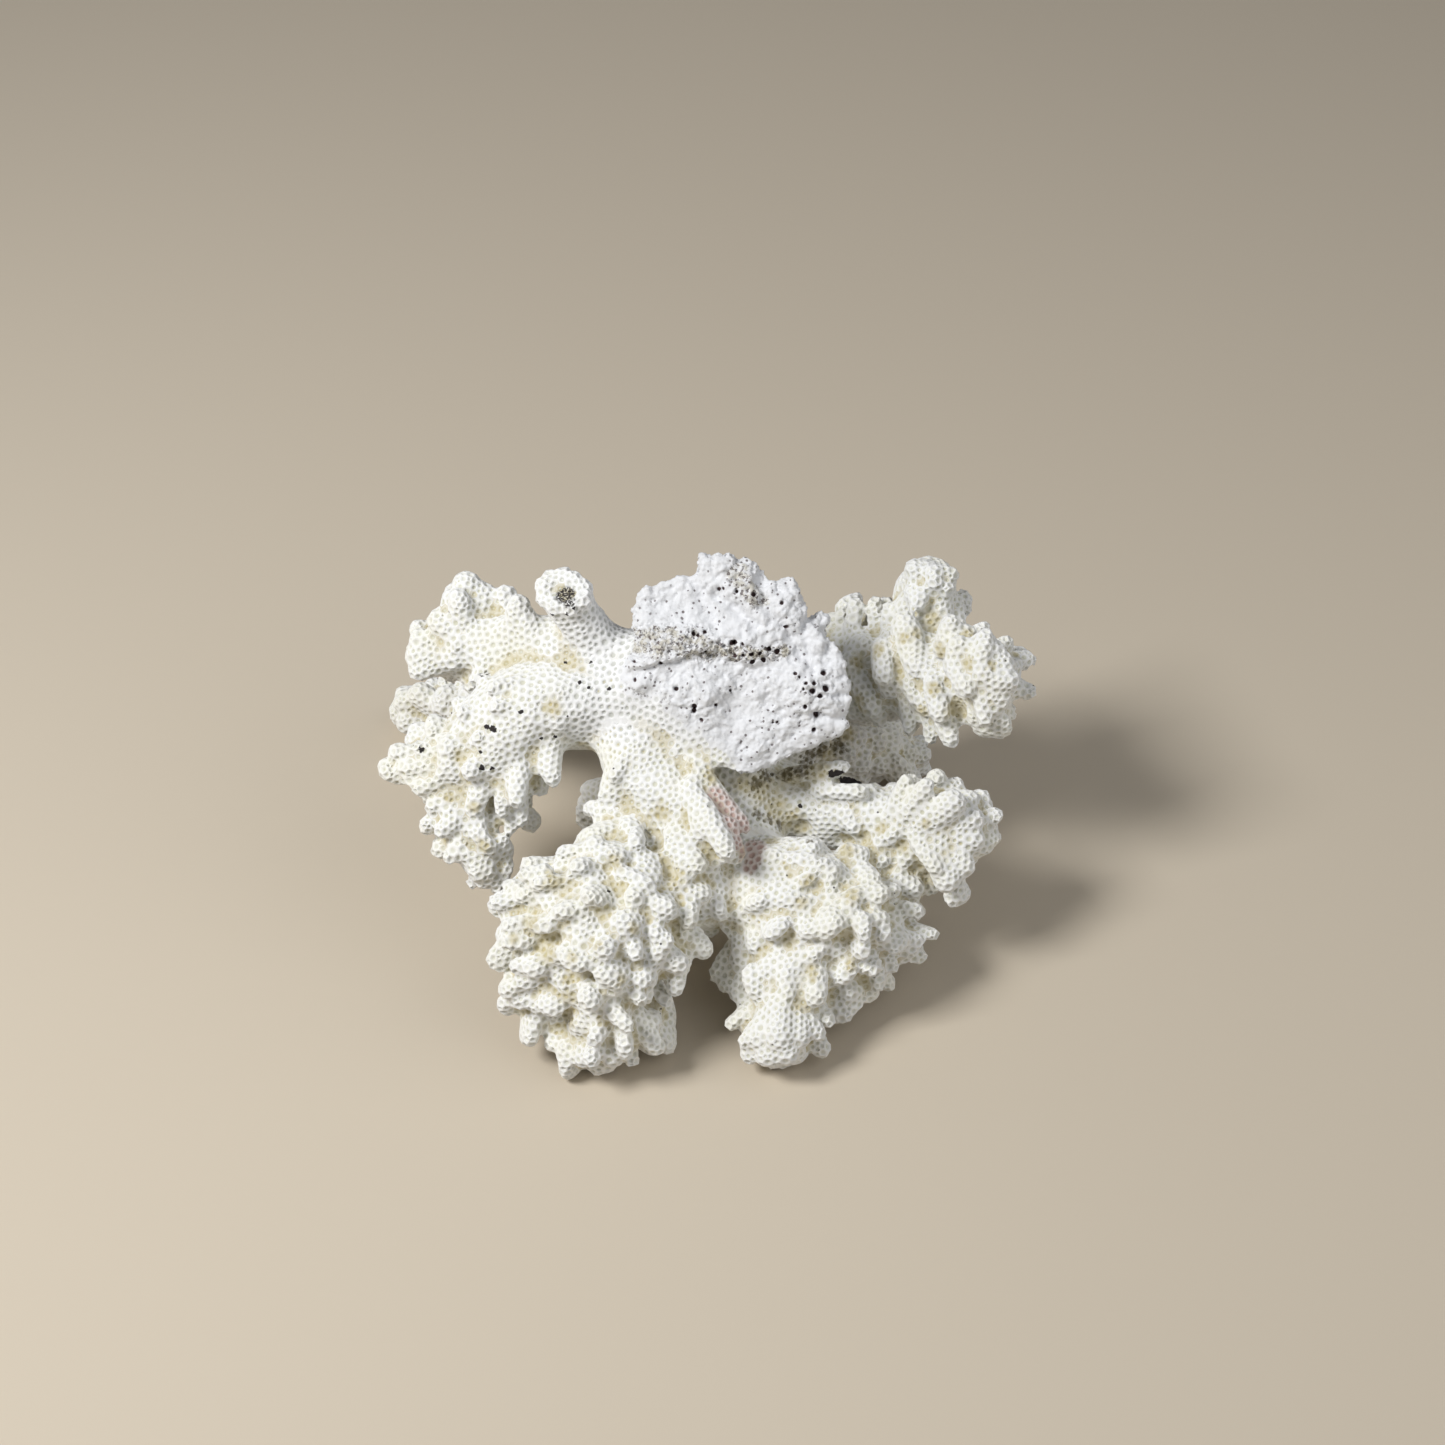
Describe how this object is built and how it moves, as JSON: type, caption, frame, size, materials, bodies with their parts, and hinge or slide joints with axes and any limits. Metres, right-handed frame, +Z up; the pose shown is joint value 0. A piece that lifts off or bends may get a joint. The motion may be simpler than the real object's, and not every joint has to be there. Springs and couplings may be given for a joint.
{
  "type": "coral specimen",
  "caption": "Loose bleached cauliflower coral: short knobbly branches, pitted all over, fork from a broken holdfast crust; it lies on its branch tips.",
  "frame": {"origin": "on the surface that the coral lies on, under the middle of its box", "axes": "+Z up, off the surface; -Y towards the viewer, the side that the broken holdfast faces; +X to the viewer's right"},
  "size_m": [0.0981, 0.084, 0.055],
  "materials": {
    "holdfast": "chalky, cool white, worn crust of lime with pinholes and dark pores; matte",
    "branch": "bare bleached coral skeleton, white walls round cream-yellow pits about 1.1 mm apart; matte"
  },
  "bodies": {
    "root": {"base": "holdfast", "broken_stub": "branch", "upper_left_branch": "branch", "lower_left_branch": "branch", "centre_branch": "branch", "front_left_branch": "branch", "front_right_branch": "branch", "right_branch": "branch", "upper_right_branch": "branch", "far_left_branch": "branch", "back_right_branch": "branch", "back_centre_branch": "branch", "back_low_branch": "branch", "back_top_branch": "branch"}
  },
  "joints": []
}
